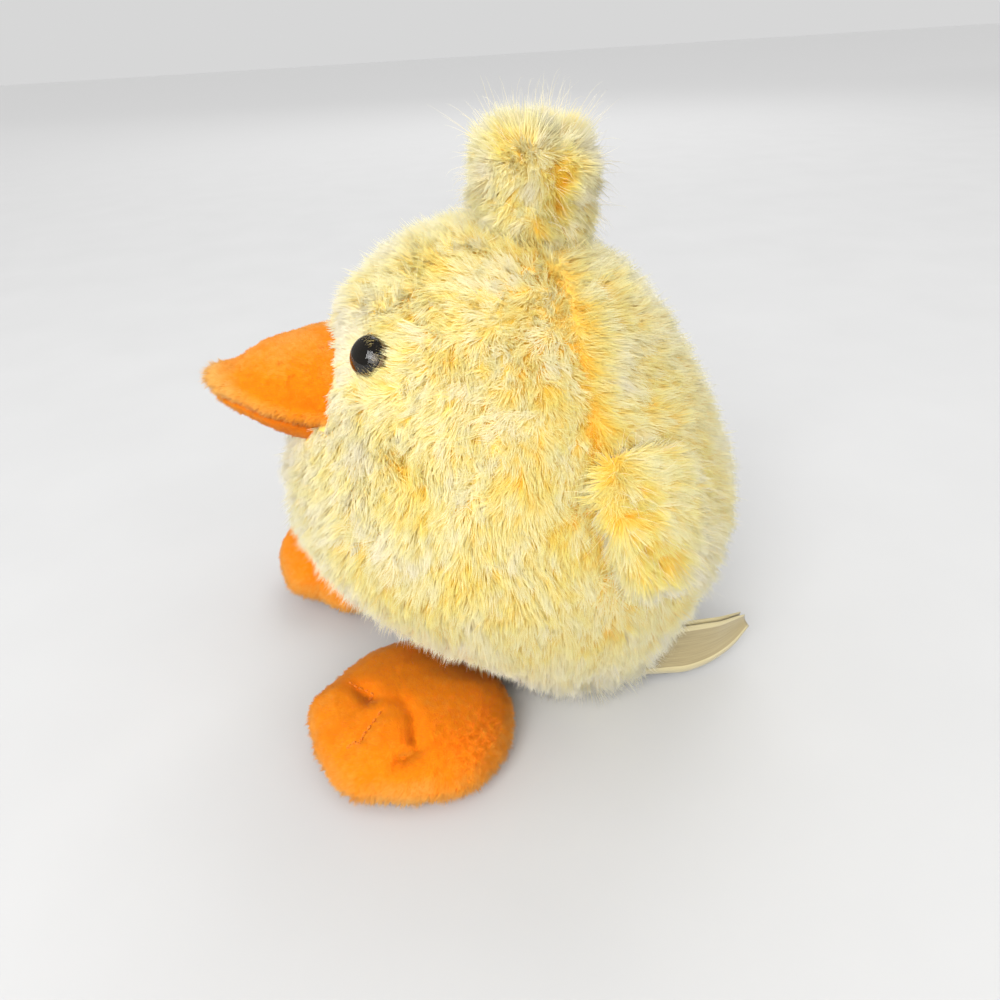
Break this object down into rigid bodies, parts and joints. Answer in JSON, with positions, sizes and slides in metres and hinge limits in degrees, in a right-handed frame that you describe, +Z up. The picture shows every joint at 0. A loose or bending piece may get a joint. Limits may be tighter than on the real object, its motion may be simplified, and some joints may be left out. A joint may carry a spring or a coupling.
{
  "type": "plush chick",
  "caption": "Seated plush chick with a pellet-weighted base, stuffed beak, topknot, side wings, padded three-toed feet and a sewn-in blank label.",
  "frame": {"origin": "middle of the flat base, on the surface that the chick sits on", "axes": "+Z up, the chick faces -Y, its own left side is +X"},
  "size_m": [0.1856, 0.1996, 0.2139],
  "materials": {
    "pile_cloth": "matte",
    "velour": "matte",
    "fibre_filling": "matte",
    "calico": "matte",
    "pellets": "matte",
    "amber_dome": "gloss",
    "black_plastic": "gloss",
    "nylon": "satin",
    "satin_ribbon": "satin",
    "yellow_thread": "matte",
    "orange_thread": "matte"
  },
  "bodies": {
    "body": {"front_panel_left": "pile_cloth", "front_panel_right": "pile_cloth", "back_panel_left": "pile_cloth", "back_panel_right": "pile_cloth", "base_panel": "pile_cloth", "body_filling": "fibre_filling", "pellet_pouch": "calico", "pellet_fill": "pellets", "closing_seam_thread": "yellow_thread", "beak_upper": "velour", "beak_lower": "velour", "beak_filling": "fibre_filling", "left_eye_dome": "amber_dome", "left_eye_pupil": "black_plastic", "left_eye_stem": "black_plastic", "left_eye_washer": "nylon", "right_eye_dome": "amber_dome", "right_eye_pupil": "black_plastic", "right_eye_stem": "black_plastic", "right_eye_washer": "nylon"},
    "topknot": {"topknot_front_panel": "pile_cloth", "topknot_back_panel": "pile_cloth", "topknot_filling": "fibre_filling"},
    "left_wing": {"left_wing_outer_panel": "pile_cloth", "left_wing_inner_panel": "pile_cloth", "left_wing_filling": "fibre_filling"},
    "right_wing": {"right_wing_outer_panel": "pile_cloth", "right_wing_inner_panel": "pile_cloth", "right_wing_filling": "fibre_filling"},
    "left_foot": {"left_foot_upper": "velour", "left_foot_sole": "velour", "left_foot_filling": "fibre_filling", "left_foot_inner_toe_thread": "orange_thread", "left_foot_outer_toe_thread": "orange_thread"},
    "right_foot": {"right_foot_upper": "velour", "right_foot_sole": "velour", "right_foot_filling": "fibre_filling", "right_foot_inner_toe_thread": "orange_thread", "right_foot_outer_toe_thread": "orange_thread"},
    "label": {"label_outer_leaf": "satin_ribbon", "label_middle_leaf": "satin_ribbon", "label_inner_leaf": "satin_ribbon"}
  },
  "joints": [
    {"name": "topknot_flop", "type": "hinge", "parent": "body", "child": "topknot", "pos_m": [0, -0.008, 0.1808], "axis": [1, 0, 0], "range_deg": [-20, 20], "stiffness_Nm_per_rad": 0.15},
    {"name": "left_wing_flap", "type": "hinge", "parent": "body", "child": "left_wing", "pos_m": [0.0804, -0.008, 0.092], "axis": [0, 0, -1], "range_deg": [0, 80], "stiffness_Nm_per_rad": 0.02},
    {"name": "right_wing_flap", "type": "hinge", "parent": "body", "child": "right_wing", "pos_m": [-0.0804, -0.008, 0.092], "axis": [0, 0, 1], "range_deg": [0, 80], "stiffness_Nm_per_rad": 0.02},
    {"name": "left_foot_flop", "type": "hinge", "parent": "body", "child": "left_foot", "pos_m": [0.0369, -0.04557, 0.014], "axis": [0.8746, 0.4848, 0], "range_deg": [-20, 45]},
    {"name": "right_foot_flop", "type": "hinge", "parent": "body", "child": "right_foot", "pos_m": [-0.0369, -0.04557, 0.014], "axis": [0.8746, -0.4848, 0], "range_deg": [-20, 45]},
    {"name": "label_bend", "type": "hinge", "parent": "body", "child": "label", "pos_m": [0.0567, 0.01, 0.013], "axis": [-0.5364, 0, -0.844], "range_deg": [0, 30], "stiffness_Nm_per_rad": 0.002}
  ]
}
